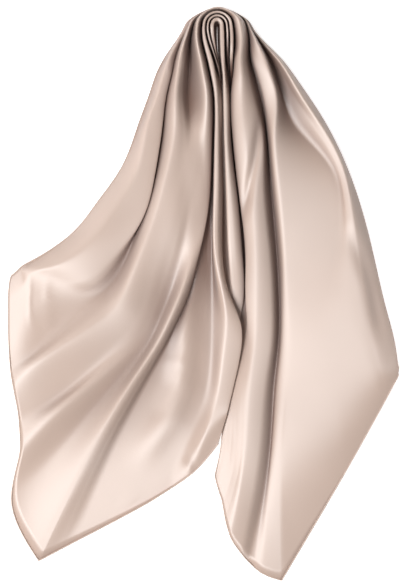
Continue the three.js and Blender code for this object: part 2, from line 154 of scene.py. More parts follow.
LEFT_SECTIONS = (
    Section(
        margin=(-51, 0), outer=(-52, 0), inner=(-1.2, 0),
        x=(
            -52, -49.5, -47.4, -46, -42.6, -39, -37.6, -35.6, -30.8,
            -26.2, -25.6, -24.4, -20.8, -17.2, -14.7, -12.2, -8.4, -1.2,
        ),
        z=(4, 9, 10.5, 11, 29, 18, 6, 22, 40, 28, 18, 8, 38, 8, 36, 8, 34, 1.5),
    ),
    Section(
        margin=(-83, -50), outer=(-81, -50), inner=(0.8, -50),
        x=(
            -81, -74, -66.2, -66.8, -57.8, -51, -43, -35.5, -26,
            -18.9, -18.4, -17.6, -11.3, -4.8, -2.5, -0.9, 0.4, 1.5,
        ),
        z=(4, 22, 14, 6, 33, 27, 2, 19, 39, 26, 17, 8, 37, 10, 26, 13, 19, 4),
    ),
    Section(
        margin=(-95, -74), outer=(-92, -74), inner=(4.6, -74),
        x=(
            -92, -82, -71.4, -73, -61, -53.5, -43.8, -34, -21.5,
            -13.6, -13.2, -12.6, -5.6, 1.5, 3.6, 4.8, 5, 4.8,
        ),
        z=(4, 22, 17, 5, 34, 27, 2, 17, 39, 26, 17, 8, 37, 15, 19, 14.5, 10, 3),
    ),
    Section(
        margin=(-103, -97), outer=(-100, -97), inner=(6, -97),
        x=(
            -100, -88, -77, -79.5, -64, -55.5, -44.5, -32, -17.5,
            -9.2, -8.8, -8, -1.6, 6, 5, 3, 0.5, -3,
        ),
        z=(4, 23, 18, 5, 35, 27, 4, 17, 38, 25, 17, 9, 36, 18, 12, 7, 4, 2),
    ),
    Section(
        margin=(-121, -147), outer=(-118, -147), inner=(7.8, -175),
        x=(
            -118, -106, -85.3, -89, -65, -51.5, -40.6, -29.7, -19.2,
            -8.3, -7.8, -7, 0.8, 7.8, 5.6, 3, 0.4, -2.4,
        ),
        z=(4, 24.5, 20, 4, 34, 29, 24, 26, 29, 22, 15, 5, 34, 17, 12, 9, 7, 6),
    ),
    Section(
        margin=(-147, -215), outer=(-144, -215), inner=(8.3, -276),
        x=(
            -144, -122, -97.5, -101, -80.1, -62, -49.4, -36.4, -22,
            -12.2, -11.6, -10.2, 0, 8.3, 6, 3, 0.4, -2.6,
        ),
        z=(4, 24, 21, 6, 32, 30, 27, 24, 21, 17, 10, 2, 32, 17, 12, 9, 7, 6),
    ),
    Section(
        margin=(-189, -276),
        x=(
            -186, -158, -119.5, -122, -101.7, -80, -64, -51, -34,
            -26.5, -25.8, -13.4, 3, 13.5, 11.4, 8, 4.2, 0.4,
        ),
        y=(
            -277, -290, -306, -305, -315, -324, -331, -337, -345,
            -348, -348.5, -357, -378, -398, -397, -395, -392, -388,
        ),
        z=(4, 23, 19, 7, 29, 27, 23, 18, 20, 16, 7, 0, 30, 18, 13, 11, 9.5, 8.5),
    ),
    Section(
        margin=(-230, -325), outer=(-228, -327), inner=(37.5, -467),
        x=(
            -228, -200, -162, -148, -127.5, -103, -86, -72, -57.1,
            -48.5, -45, -10, 15, 37.5, 36, 33, 29, 24,
        ),
        z=(4, 24, 16, 3, 27, 19, 10, 5, 26, 15, 1, 2, 26, 21, 15.4, 14.2, 13.2, 12.8),
    ),
    Section(
        margin=(-274, -356), outer=(-272, -358), inner=(33.4, -525),
        x=(
            -272, -246, -203, -176, -148, -118, -103, -91, -78,
            -70, -66, -11, 10.5, 33.4, 31.5, 28.5, 24.5, 20,
        ),
        z=(3, 20, 15, 2, 25, 14, 7, 3, 25, 14, 1, 2, 21.5, 17.5, 12.4, 11.2, 10.4, 10),
    ),
    Section(
        margin=(-296, -368), outer=(-294, -371), inner=(21, -580),
        x=(
            -294, -279, -240, -204, -172, -138, -122, -109, -97.6,
            -90, -85, -17, 3, 21, 19, 16, 12, 7.5,
        ),
        z=(2, 14, 12, 3, 22, 11, 5, 1.5, 23, 13, 1, 1.5, 16.5, 14, 9.8, 8.8, 8, 7.6),
    ),
    Section(
        margin=(-310, -378),
        x=(
            -308.6, -301.6, -294, -283, -265, -242.2, -226.6, -207.8, -181.3,
            -167.2, -154.7, -56, -18, 12.5, 11, 8.5, 5, 1,
        ),
        y=(
            -381, -406, -453, -503, -514, -572, -581, -614, -633,
            -640.6, -645, -653, -640, -614, -616, -619, -622, -626,
        ),
        z=(0, 8, 8, 3, 17, 3, 15, 2, 20, 11, 1, 1, 12, 10, 6.4, 5.2, 4.4, 4),
    ),
    Section(
        margin=(-321, -388), corner=9,
        x=(
            -323, -326, -326, -323.4, -318.7, -310, -307, -321.5, -278.5,
            -249.5, -223, -96, -33, 1.6, -0.5, -3.5, -7.5, -12,
        ),
        y=(
            -392, -425, -472, -528, -559, -609, -654.7, -736, -833.5,
            -818, -804, -735.5, -691, -650, -652.5, -655.5, -658.5, -662,
        ),
        z=(0, 3, 2.5, 0, 7, 1, 9, 0, 0, 0, 0, -1, 5, 8, 3.6, 2, 0, 0),
    ),
)

RIGHT_SECTIONS = (
    Section(
        margin=(53.5, 0), outer=(55.5, 0), inner=(1.2, 0),
        x=(
            55.5, 54, 53, 52, 49.8, 47.2, 46.3, 44.8, 36,
            27.4, 26.6, 25.6, 21.6, 17.6, 15.4, 12.8, 7.4, 1.2,
        ),
        z=(5, 11, 13, 13, 28, 18, 9, 24, 40, 28, 18, 8, 38, 8, 36, 8, 34, 1.5),
    ),
    Section(
        margin=(97, -50), outer=(101, -50), inner=(3.4, -50),
        x=(101, 94, 87, 81.5, 73, 56, 52, 44, 36, 27.4, 27, 26.2, 21.8, 18.9, 16.6, 14.2, 8.9, 3.4),
        z=(5, 22, 12, 4, 34, 24, 3, 30, 39, 27, 17, 8, 33, 13, 21, 10, 36, 2),
    ),
    Section(
        margin=(113, -74), outer=(119.5, -74), inner=(7, -74),
        x=(
            119.5, 111, 101, 91, 81.5, 62.5, 58.5, 47, 37,
            25.4, 25.6, 25.6, 22, 20, 18.5, 17.2, 11.4, 6.2,
        ),
        z=(5, 24, 12, 3, 35, 24, 2, 30, 39, 26, 15, 7, 13.5, 8, 10, 10.5, 36, 2),
    ),
    Section(
        margin=(128, -97), outer=(135.5, -97), inner=(6.4, -97),
        x=(
            135.5, 124.5, 113, 99, 89, 69.5, 65.5, 52, 37.5,
            22.4, 23, 25, 23.4, 21.2, 18.9, 19.2, 13, 5.6,
        ),
        z=(5, 25, 13, 3, 34, 23, 1, 27, 37, 24, 13, 5, 2.4, 1.5, 3, 15, 35, 2),
    ),
    Section(
        margin=(154, -150), outer=(168, -147), inner=(6.6, -172),
        x=(168, 158, 146, 122.5, 90, 80, 76.8, 69, 44, 24.2, 24.8, 27, 25, 23, 21, 21.4, 14.8, 6.6),
        z=(5, 24, 18, 3, 32, 20, 1, 25, 36, 22, 12, 4.5, 2.2, 1.5, 3, 17, 33, 2),
    ),
    Section(
        margin=(178, -222), outer=(202, -216), inner=(6, -269),
        x=(202, 195, 188, 178, 97, 87, 84, 70.5, 54, 34.2, 35, 37, 35, 33, 31, 31.4, 21, 6),
        z=(5, 25, 22, 13, 28, 16, 0, 26, 32, 18, 10.5, 4.5, 2.2, 1.5, 3, 15, 29, 2),
    ),
    Section(
        margin=(197, -330), outer=(236.5, -323), inner=(7, -365),
        x=(
            236.5, 216, 204, 188, 107, 98, 93, 80, 61,
            44.4, 45.2, 47, 44.6, 42, 39.4, 39.8, 27.3, 7,
        ),
        z=(5, 27, 25, 21, 22, 14, 0, 23, 30, 17, 9, 4, 2.2, 1.5, 3, 13, 22, 2),
    ),
    Section(
        margin=(201, -430), outer=(261, -428), inner=(14, -433),
        x=(
            261, 232, 210, 172, 110, 101, 97, 84.5, 62,
            45, 46.2, 48, 45.6, 42.6, 39.6, 40, 29.7, 14,
        ),
        z=(5, 24, 24, 22, 19, 12, 0, 21, 27, 15, 8.5, 4, 2.2, 1.5, 2.6, 6, 8, 1.5),
    ),
    Section(
        margin=(200, -480), outer=(275, -481), inner=(16, -495),
        x=(275, 242, 218, 172, 112, 100, 96, 83.5, 60, 48.6, 44.6, 41, 37, 32, 29, 26, 22, 16),
        z=(5, 20, 21, 20, 16.5, 10, 0, 19.5, 24.5, 17, 12, 8.5, 6.5, 5.5, 5, 4.5, 3.5, 2),
    ),
    Section(
        margin=(196, -503), outer=(282, -522), inner=(12, -577),
        x=(
            282, 254, 233, 180, 107, 94, 88.5, 73.5, 51,
            39.5, 34.8, 30.5, 27.5, 24.5, 22, 19.5, 16.5, 12,
        ),
        z=(5, 16, 17.5, 17, 13.5, 8, 0, 17.5, 22.5, 19, 16.5, 14, 12, 10.3, 8.7, 7, 5, 2),
    ),
    Section(
        margin=(192, -516),
        x=(284, 264.5, 249, 198, 99, 84, 78.5, 61, 42, 34.5, 30.6, 27, 23, 20, 16.5, 13, 9.5, 6),
        y=(
            -532, -559, -578, -631, -690, -692, -692, -690, -686,
            -681, -679, -677, -674, -671, -668, -664, -660, -655,
        ),
        z=(5, 11, 12.5, 13, 11, 7, 0, 14.5, 18, 15, 13, 11, 9.2, 7.8, 6.3, 4.9, 3.4, 2.2),
    ),
    Section(
        margin=(190, -530), corner=5,
        x=(
            283, 272.5, 257.5, 204, 101, 71, 52, 36.5, 20.5,
            12.2, 10.3, 8.6, 6.5, 4, 2, 0, -2, -3.5,
        ),
        y=(
            -541, -563, -591, -687.5, -864, -853, -837.5, -819.5, -794.5,
            -764, -753, -743, -735, -728, -721, -714, -707, -700,
        ),
        z=(4, 8, 8.5, 6, 0, 3, 0, 9, 11.5, 8.5, 7.5, 6.5, 5.5, 4.5, 3.5, 2.5, 1.2, 0),
    ),
)

SECTIONS = {Side.LEFT: LEFT_SECTIONS, Side.RIGHT: RIGHT_SECTIONS}


# ---- smaller creases -------------------------------------------------------------------------------------


@dataclass(frozen=True)
class Crease:
    """A soft ridge along a line of plan points, or a trough where its height is below zero.

    first and last are the folds between which the cloth takes it, so that layers underneath stay as they
    are. width is the distance over which it fades to the sides. Sizes and points are in millimetres.
    """

    name: str
    side: Side
    first: float
    last: float
    height: float
    width: float
    line: tuple[tuple[float, float], ...]


CREASES = (
    Crease(
        "groove in the right band", Side.RIGHT, first=8, last=9.6, height=-6, width=7,
        line=((68, -120), (64, -159), (58.8, -201.6), (51.6, -237.5), (46, -276.6), (40, -310)),
    ),
    Crease(
        "hollow along the right edge", Side.RIGHT, first=1, last=3.4, height=-5, width=11,
        line=((206, -300), (216, -335), (226, -365), (236, -394), (243.8, -431), (250, -461), (255, -500)),
    ),
    Crease(
        "ironed crease", Side.LEFT, first=1, last=4, height=1, width=3,
        line=((-263, -365), (-266, -420), (-264, -490)),
    ),
    Crease(
        "second ironed crease", Side.LEFT, first=1, last=3, height=0.7, width=3,
        line=((-290, -380), (-293, -425), (-292, -475)),
    ),
    Crease(
        "swell of the middle panel", Side.LEFT, first=11.4, last=11.9, height=10, width=19,
        line=(
            (-38, -350), (-46, -400), (-50, -450), (-50, -500),
            (-56, -560), (-74, -610), (-103, -655), (-130, -700),
        ),
    ),
    Crease(
        "pucker of the hem", Side.LEFT, first=11.5, last=12.6, height=2.5, width=6,
        line=((-52, -668), (-34, -706), (-20, -742)),
    ),
    Crease(
        "second pucker of the hem", Side.LEFT, first=11, last=12, height=2, width=5,
        line=((-146, -722), (-128, -753), (-114, -786)),
    ),
    Crease(
        "cross crease", Side.LEFT, first=11.4, last=14, height=0.7, width=5,
        line=((-110, -529), (-64, -522), (-20, -529)),
    ),
)


# ---- interpolation ---------------------------------------------------------------------------------------


def end_slope(near: float, far: float) -> float:
    """Slope at the end of a steady curve.

    Args:
        near: the rise of the step at the end.
        far: the rise of the step beyond it.

    Returns:
        The slope of a parabola through the two steps, or 0 where it would turn the curve back.
    """
    slope = 1.5 * near - 0.5 * far
    return slope if slope * near > 0 else 0.0


def steady_slopes(values: np.ndarray) -> np.ndarray:
    """Slopes of a curve that passes through the values without overshooting them.

    Args:
        values: the values, one step apart.

    Returns:
        The slope at each value.
    """
    rise = np.diff(values)
    slopes = np.zeros(len(values))
    for i in range(1, len(rise)):
        if rise[i - 1] * rise[i] > 0:
            slopes[i] = 2 / (1 / rise[i - 1] + 1 / rise[i])
    slopes[0] = end_slope(rise[0], rise[min(1, len(rise) - 1)])
    slopes[-1] = end_slope(rise[-1], rise[max(-2, -len(rise))])
    return slopes


def between(values: np.ndarray, places: np.ndarray) -> np.ndarray:
    """Values at places along a steady curve.

    Args:
        values: the values, one step apart.
        places: where to read the curve, in steps from the first value.

    Returns:
        The curve at each place.
    """
    slopes = steady_slopes(values)
    i = np.clip(np.floor(places).astype(int), 0, len(values) - 2)
    t = places - i
    keep = (1 + 2 * t) * (1 - t) ** 2
    return (
        values[i] * keep + values[i + 1] * (1 - keep)
        + slopes[i] * t * (1 - t) ** 2 + slopes[i + 1] * t * t * (t - 1)
    )


def across_folds(values: Sequence[float], places: np.ndarray, corner: int | None = None) -> np.ndarray:
    """Values across the cloth, with a break in direction at a corner of the cut.

    Args:
        values: the values at the folds.
        places: where to read them, in folds.
        corner: the fold at which the corner is, if there is one.

    Returns:
        The value at each place.
    """
    values = np.asarray(values, dtype=float)
    if corner is None:
        return between(values, places)
    before = between(values[: corner + 1], np.minimum(places, corner))
    after = between(values[corner:], np.maximum(places - corner, 0))
    return np.where(places <= corner, before, after)


def smooth_step(low: float, high: float, value: np.ndarray) -> np.ndarray:
    """A soft step from 0 at low to 1 at high.

    Args:
        low: where the step starts.
        high: where it ends.
        value: where to read it.

    Returns:
        The step at each value.
    """
    t = np.clip((value - low) / (high - low), 0, 1)
    return t * t * (3 - 2 * t)


def beside_line(points: np.ndarray, line: np.ndarray) -> tuple[np.ndarray, np.ndarray]:
    """Where points are beside a line of straight pieces.

    Args:
        points: plan points, in any grid.
        line: the corners of the line.

    Returns:
        The distance of each point from the line, and how far along the line it is, from 0 to 1.
    """
    pieces = np.diff(line, axis=0)
    lengths = np.linalg.norm(pieces, axis=1)
    best = np.full(points.shape[:-1], np.inf)
    share = np.zeros(points.shape[:-1])
    for start, piece, length, before in zip(line, pieces, lengths, np.cumsum(lengths) - lengths):
        t = np.clip(((points - start) @ piece) / length**2, 0, 1)
        away = np.linalg.norm(points - start - t[..., None] * piece, axis=-1)
        share = np.where(away < best, (before + t * length) / lengths.sum(), share)
        best = np.minimum(best, away)
    return best, share


@dataclass
class Spline:
    """Smooth curves through rows of points at uneven stations, one curve for each column."""

    stations: np.ndarray
    rows: np.ndarray
    bending: np.ndarray = field(init=False)

    def __post_init__(self) -> None:
        """Works out how much each curve bends at each station. At its two ends it doesn't bend."""
        spans = np.diff(self.stations)
        inner = len(spans) - 1
        flat = self.rows.reshape(len(self.rows), -1)
        slopes = np.diff(flat, axis=0) / spans[:, None]
        system = np.diag(2 * (spans[:-1] + spans[1:]))
        system += np.diag(spans[1:-1], 1) + np.diag(spans[1:-1], -1)
        bending = np.zeros_like(flat)
        bending[1 : inner + 1] = np.linalg.solve(system, 6 * np.diff(slopes, axis=0))
        self.bending = bending.reshape(self.rows.shape)

    def at(self, stations: np.ndarray) -> np.ndarray:
        """Reads all the curves.

        Args:
            stations: where to read them.

        Returns:
            One row of points for each station.
        """
        i = np.clip(np.searchsorted(self.stations, stations) - 1, 0, len(self.stations) - 2)
        span = (self.stations[i + 1] - self.stations[i])[:, None, None]
        b = (stations - self.stations[i])[:, None, None] / span
        a = 1 - b
        bow = ((a**3 - a) * self.bending[i] + (b**3 - b) * self.bending[i + 1]) * span**2 / 6
        return a * self.rows[i] + b * self.rows[i + 1] + bow


# ---- the sheet -------------------------------------------------------------------------------------------


@dataclass(frozen=True)
class Shade:
    """A part of the painted shade between folds, which comes in while a point is shut in from low to high.
    """

    share: float
    low: float
    high: float


@dataclass
class DrapedSheet:
    """The scarf's panel as it lies: a grid of points, in millimetres from the arch centre.

    The three steps are the lengths of the facets along the cloth: over the arch, down the shoulders below
    its springs, and down the falls.
    """

    arch_rows: int = 3  # sections between the top of the arch and each spring
    arch_step: float = 2.3  # mm
    shoulder_step: float = 3.4  # mm
    fall_step: float = 7.0  # mm
    shoulder_sections: int = 4  # sections from a spring to the end of its shoulder
    foot_hold: int = 4  # the higher it is, the further down the arch the heights of its top reach
    pleat_rounding: float = 0.9  # 1 gives a deep pleat a fully round top, 0 a peaked one
    full_pleat: float = 8.0  # mm that the cloth climbs and drops at a fold that takes all its rounding
    rest_height: float = WALL / 2  # mm, at which the wall's underside lies on the table
    crease_fade: float = 0.5  # folds over which a crease ends across the cloth
    crease_ends: float = 0.3  # share of its line over which a crease rises from each end
    gap_softness: float = 0.5  # mm added to distances, so that a point's own steep wall counts for less
    # painted shade between folds, in parts that come in as a point is shut in
    shades: tuple[Shade, ...] = (
        Shade(share=0.75, low=0.1, high=0.55),
        Shade(share=0.25, low=0.5, high=0.9),
    )
    stations: np.ndarray = field(init=False)
    points: np.ndarray = field(init=False)
    places: np.ndarray = field(init=False)
    # share of painted shade at each point, from 0 in the open to 1 in a gap between folds
    hollow: np.ndarray = field(init=False)
    top_station: float = field(init=False)

    def __post_init__(self) -> None:
        """Works out the grid of points."""
        self.places, rounding = self._places_across()
        arch = np.arange(1, self.arch_rows + 1) / (self.arch_rows + 1)
        rows = [self._section_row(section, rounding) for section in reversed(LEFT_SECTIONS)]
        left_spring = len(rows) - 1
        rows += [self._arch_row(Side.LEFT, share, rounding) for share in reversed(arch)]
        top = len(rows)
        rows += [self._arch_row(Side.RIGHT, share, rounding) for share in (0.0, *arch)]
        right_spring = len(rows)
        rows += [self._section_row(section, rounding) for section in RIGHT_SECTIONS]
        sections = np.array(rows)
        lengths = np.linalg.norm(np.diff(sections, axis=0), axis=2).mean(axis=1)
        knots = np.concatenate([[0], np.cumsum(lengths)])
        self.top_station = knots[top]
        self.stations = self._row_stations(knots, left_spring, right_spring)
        self.points = Spline(knots, sections).at(self.stations)
        self._lay_creases()
        self.points[..., 2] = np.maximum(self.points[..., 2], self.rest_height)
        self.hollow = self._painted_shade()

    def _places_across(self) -> tuple[np.ndarray, np.ndarray]:
        """Spaces the columns of the grid out between the folds.

        In a deep pleat the plan moves on first and the height later, which rounds its top.

        Returns:
            Places across the cloth in folds, and how far the deep pleats shift each of them.
        """
        places, rounding = [], []
        for index, fold in enumerate(FOLDS):
            steps = max(fold.columns, 1)
            t = np.arange(steps) / steps
            places.append(index + t)
            rounding.append(self.pleat_rounding * fold.deep * np.sin(2 * math.pi * t) / (2 * math.pi))
        return np.concatenate(places), np.concatenate(rounding)

    def _pleat_shares(self, heights: np.ndarray) -> np.ndarray:
        """How much of its rounding each place of a section takes.

        Args:
            heights: heights of the cloth at the folds.

        Returns:
            A share for each place, from 0 where the cloth runs on flat to 1 between real pleats.
        """
        rise = np.diff(heights)
        smaller = np.minimum(np.abs(rise[:-1]), np.abs(rise[1:]))
        reversal = np.where(rise[:-1] * rise[1:] < 0, smaller, 0)
        share = np.concatenate([[1], smooth_step(0, self.full_pleat, reversal), [1, 1]])
        fold = self.places.astype(int)
        return np.minimum(share[fold], share[fold + 1])

    def _section_row(self, section: Section, rounding: np.ndarray) -> np.ndarray:
        """Points of one section of the tables.

        Args:
            section: the section.
            rounding: shift of each place in a full pleat. A pleat that has opened out takes less of it.

        Returns:
            One point for each place.
        """
        if section.y is None:
            (x0, y0), (x1, y1) = section.outer, section.inner
            ys = [y0 + (x - x0) / (x1 - x0) * (y1 - y0) for x in section.x]
        else:
            ys = section.y
        heights = np.array([section.z[0] - MARGIN_DROP, *section.z], dtype=float)
        shift = rounding * self._pleat_shares(heights)
        x = across_folds([section.margin[0], *section.x], self.places + shift, section.corner)
        y = across_folds([section.margin[1], *ys], self.places + shift, section.corner)
        z = across_folds(heights, self.places - shift, section.corner)
        return np.stack([x, y, z], axis=1)

    def _arch_row(self, side: Side, share: float, rounding: np.ndarray) -> np.ndarray:
        """Points of a section of the arch.

        Args:
            side: the side of the arch.
            share: 0 at the top of the arch, 1 at its spring.
            rounding: shift of each place in the pleats.

        Returns:
            One point for each place.
        """
        spring = SECTIONS[side][0]
        plan, height = self.places + rounding, self.places - rounding
        turn = share * math.pi / 2
        mix = math.sin(turn) ** self.foot_hold
        reach = np.abs(across_folds([spring.margin[0], *spring.x], plan))
        tops = across_folds([fold.top for fold in FOLDS], plan)
        power = 2 / across_folds([fold.bend for fold in FOLDS], plan)
        over = across_folds([fold.height for fold in FOLDS], height)
        foot = across_folds([spring.z[0] - MARGIN_DROP, *spring.z], height)
        x = side.value * reach * math.sin(turn) ** power
        y = tops * math.cos(turn) ** power
        return np.stack([x, y, over * (1 - mix) + foot * mix], axis=1)

    def _row_stations(self, knots: np.ndarray, left_spring: int, right_spring: int) -> np.ndarray:
        """Stations of the grid's rows, close together over the arch and wider apart down the falls.

        Args:
            knots: stations of the sections.
            left_spring: number of the section where the left side of the arch springs.
            right_spring: number of the section where its right side springs.

        Returns:
            The stations, from the end of the left fall to the end of the right one.
        """
        stations = [knots[0]]
        for i, span in enumerate(np.diff(knots)):
            if left_spring <= i < right_spring:
                step = self.arch_step
            elif left_spring - self.shoulder_sections <= i < right_spring + self.shoulder_sections:
                step = self.shoulder_step
            else:
                step = self.fall_step
            count = math.ceil(span / step)
            stations += [knots[i] + span * k / count for k in range(1, count + 1)]
        return np.array(stations)

    def _lay_creases(self) -> None:
        """Moves the points up or down where a crease runs."""
        left = (self.stations < self.top_station)[:, None]
        for crease in CREASES:
            half = left if crease.side is Side.LEFT else ~left
            taken = smooth_step(crease.first - self.crease_fade, crease.first, self.places)
            taken = taken * (1 - smooth_step(crease.last, crease.last + self.crease_fade, self.places))
            near, share = beside_line(self.points[..., :2], np.array(crease.line))
            ends = smooth_step(0, self.crease_ends, share) * smooth_step(0, self.crease_ends, 1 - share)
            lift = crease.height * np.exp(-((near / crease.width) ** 2)) * ends
            self.points[..., 2] += lift * taken[None, :] * half

    def _painted_shade(self) -> np.ndarray:
        """Finds how far each point is shut in by the folds beside it in its row, and the painted shade that
        gives it.

        Returns:
            A grid of shares of painted shade, from 0 in the open to 1 in a gap.
        """
        shut = np.zeros(self.points.shape[:2])
        for row, points in enumerate(self.points):
            away = np.linalg.norm(points[:, None, :2] - points[None, :, :2], axis=2)
            over = points[None, :, 2] - points[:, None, 2]
            angles = np.arctan2(over, away + self.gap_softness)
            before = np.tril(angles).max(axis=1)
            after = np.triu(angles).max(axis=1)
            shut[row] = (np.maximum(before, 0) + np.maximum(after, 0)) / math.pi
        return sum(shade.share * smooth_step(shade.low, shade.high, shut) for shade in self.shades)

    @staticmethod
    def border(grid: np.ndarray) -> np.ndarray:
        """The border of a grid that is laid out as the points are.

        Args:
            grid: the grid.

        Returns:
            Its values at the border in order, once round.
        """
        return np.concatenate([grid[:-1, 0], grid[-1, :-1], grid[:0:-1, -1], grid[0, :0:-1]])


# ---- materials -------------------------------------------------------------------------------------------


def linear(hex_colour: str) -> tuple[float, float, float, float]:
    """The linear colour of an sRGB hex value.

    Args:
        hex_colour: six hex digits with a leading #.

    Returns:
        Red, green, blue and alpha.
    """
    parts = [int(hex_colour[i : i + 2], 16) / 255 for i in (1, 3, 5)]
    red, green, blue = (c / 12.92 if c <= 0.04045 else ((c + 0.055) / 1.055) ** 2.4 for c in parts)
    return red, green, blue, 1.0


def add_node(
    tree: bpy.types.NodeTree, kind: str, settings: dict[str, str] | None = None, **inputs: object
) -> bpy.types.Node:
    """Adds a node with its settings, and sets or links its inputs.

    Args:
        tree: the material's nodes.
        kind: the node's type name.
        settings: properties of the node itself.
        inputs: one for each input socket, with _ for a space. An output socket is linked.

    Returns:
        The node.
    """
    node = tree.nodes.new(kind)
    for name, value in (settings or {}).items():
        setattr(node, name, value)
    enabled = [socket for socket in reversed(node.inputs) if socket.enabled]
    sockets = {socket.name.replace(" ", "_"): socket for socket in enabled}
    for name, value in inputs.items():
        if isinstance(value, bpy.types.NodeSocket):
            tree.links.new(value, sockets[name])
        else:
            sockets[name].default_value = value
    return node


def blank_material(name: str) -> bpy.types.Material:
    """A new material without nodes.

    Args:
        name: the material's name.

    Returns:
        The material.
    """
    material = bpy.data.materials.new(name)
    material.use_nodes = True
    material.node_tree.nodes.clear()
    return material


@dataclass(frozen=True)
class Satin:
    """Light polyester satin, woven with long floats: smooth, with a soft sheen along the folds."""

    body: str = "#C9B1A3"
    # painted shade: the dark brown that the body colour is mixed towards between folds
    hollow: str = "#5E392B"
    roughness: float = 0.5
    refraction: float = 1.8
    gloss: float = 0.8
    along_grain: float = 0.8  # how far the gloss is drawn out by the threads
    sheen: float = 0.15
    sheen_spread: float = 0.35
    sheen_colour: str = "#F6E4D8"
    mottle: float = 0.03  # share by which broad patches are lighter and darker
    mottle_scale: float = 9.0  # patches in a metre
    thread: float = 1.1  # mm between threads, several times as coarse as real ones so that they show
    thread_waver: float = 0.6
    thread_relief: float = 0.2  # mm
    relief_share: float = 0.05

    def build(self) -> bpy.types.Material:
        """Makes the material.

        Returns:
            The material, which reads the piece's cut map and hollow attribute.
        """
        material = blank_material("champagne satin")
        tree = material.node_tree
        cloth = add_node(tree, "ShaderNodeTexCoord").outputs["UV"]
        place = add_node(tree, "ShaderNodeTexCoord").outputs["Object"]
        mottle = add_node(
            tree, "ShaderNodeTexNoise", Vector=place, Scale=self.mottle_scale, Detail=2.0, Roughness=0.5
        ).outputs["Fac"]
        shade = add_node(
            tree, "ShaderNodeMapRange", Value=mottle, From_Min=NOISE_LOW, From_Max=NOISE_HIGH,
            To_Min=1 - self.mottle, To_Max=1 + self.mottle,
        ).outputs["Result"]
        # painted shade: the body colour darkens towards the hollow colour where folds shut the cloth in
        painted_shade_share = add_node(tree, "ShaderNodeAttribute", {"attribute_name": PAINTED_SHADE}).outputs["Fac"]
        body_with_painted_shade = add_node(
            tree, "ShaderNodeMix", {"data_type": "RGBA"},
            Factor=painted_shade_share, A=linear(self.body), B=linear(self.hollow),
        )
        body_with_painted_shade = next(output for output in body_with_painted_shade.outputs if output.enabled)
        colour = add_node(
            tree, "ShaderNodeHueSaturation", Color=body_with_painted_shade, Value=shade, Saturation=1.0
        ).outputs["Color"]
        weave = add_node(
            tree, "ShaderNodeTexWave", {"wave_type": "BANDS", "bands_direction": "DIAGONAL"},
            Vector=cloth, Scale=math.pi / (WAVE_FACTOR * self.thread * MM),
            Distortion=self.thread_waver, Detail=1.0,
        ).outputs["Fac"]
        bump = add_node(
            tree, "ShaderNodeBump", Height=weave, Strength=self.relief_share,
            Distance=self.thread_relief * MM,
        ).outputs["Normal"]
        grain = add_node(tree, "ShaderNodeTangent", {"direction_type": "UV_MAP"}).outputs["Tangent"]
        shader = add_node(
            tree, "ShaderNodeBsdfPrincipled", Base_Color=colour, Roughness=self.roughness,
            IOR=self.refraction, Specular_IOR_Level=self.gloss, Anisotropic=self.along_grain,
            Sheen_Weight=self.sheen, Sheen_Roughness=self.sheen_spread,
            Sheen_Tint=linear(self.sheen_colour), Normal=bump, Tangent=grain,
        )
        add_node(tree, "ShaderNodeOutputMaterial", Surface=shader.outputs["BSDF"])
        return material


@dataclass(frozen=True)
class Thread:
    """Fine polyester sewing thread, a shade lighter than the satin, with a dull shine."""

    colour: str = "#E6D8CE"
    roughness: float = 0.5
    gloss: float = 0.4
    twist_scale: float = 2500.0  # twists in a metre
    twist_shade: float = 0.1  # share by which they are lighter and darker

    def build(self) -> bpy.types.Material:
        """Makes the material.

        Returns:
            The material.
        """
        material = blank_material("sewing thread")
        tree = material.node_tree
        place = add_node(tree, "ShaderNodeTexCoord").outputs["Object"]
        twist = add_node(
            tree, "ShaderNodeTexNoise", Vector=place, Scale=self.twist_scale, Detail=1.0
        ).outputs["Fac"]
        shade = add_node(
            tree, "ShaderNodeMapRange", Value=twist,
            To_Min=1 - self.twist_shade, To_Max=1 + self.twist_shade,
        ).outputs["Result"]
        colour = add_node(
            tree, "ShaderNodeHueSaturation", Color=linear(self.colour), Value=shade
        ).outputs["Color"]
        shader = add_node(
            tree, "ShaderNodeBsdfPrincipled", Base_Color=colour, Roughness=self.roughness,
            Specular_IOR_Level=self.gloss,
        )
        add_node(tree, "ShaderNodeOutputMaterial", Surface=shader.outputs["BSDF"])
        return material


@dataclass(frozen=True)
class Paper:
    """The studio's matt card under the scarf, with a glow that keeps it white in soft light."""

    colour: str = "#FAFAFA"
    roughness: float = 0.9
    gloss: float = 0.1
    glow: float = 0.72
    glow_colour: str = "#FFFFFF"

    def build(self) -> bpy.types.Material:
        """Makes the material.

        Returns:
            The material.
        """
        material = blank_material("studio card")
        tree = material.node_tree
        shader = add_node(
            tree, "ShaderNodeBsdfPrincipled", Base_Color=linear(self.colour), Roughness=self.roughness,
            Specular_IOR_Level=self.gloss, Emission_Color=linear(self.glow_colour),
            Emission_Strength=self.glow,
        )
        add_node(tree, "ShaderNodeOutputMaterial", Surface=shader.outputs["BSDF"])
        return material


# ---- pieces ----------------------------------------------------------------------------------------------


def finished_mesh(name: str, shape: bmesh.types.BMesh) -> bpy.types.Mesh:
    """Turns a finished shape into a mesh.

    Args:
        name: the mesh's name.
        shape: the shape, which is used up.

    Returns:
        The mesh.
    """
    mesh = bpy.data.meshes.new(name)
    shape.to_mesh(mesh)
    shape.free()
    return mesh


def mark_cloth(mesh: bpy.types.Mesh, cut: np.ndarray, hollow: np.ndarray) -> None:
    """Gives a mesh the UV map and the attribute of painted shade that the satin reads.

    Args:
        mesh: the mesh.
        cut: a place in metres for each vertex, on the flat cloth or, for the thin roll, in plan.
        hollow: how much painted shade each vertex takes, from how far it is shut in.
    """
    corners = np.empty(len(mesh.loops), dtype=np.int32)
    mesh.loops.foreach_get("vertex_index", corners)
    layer = mesh.uv_layers.new(name=CUT_MAP)
    layer.uv.foreach_set("vector", cut[corners].astype(np.float32).ravel())
    attribute = mesh.attributes.new(PAINTED_SHADE, "FLOAT", "POINT")
    attribute.data.foreach_set("value", hollow.astype(np.float32).ravel())


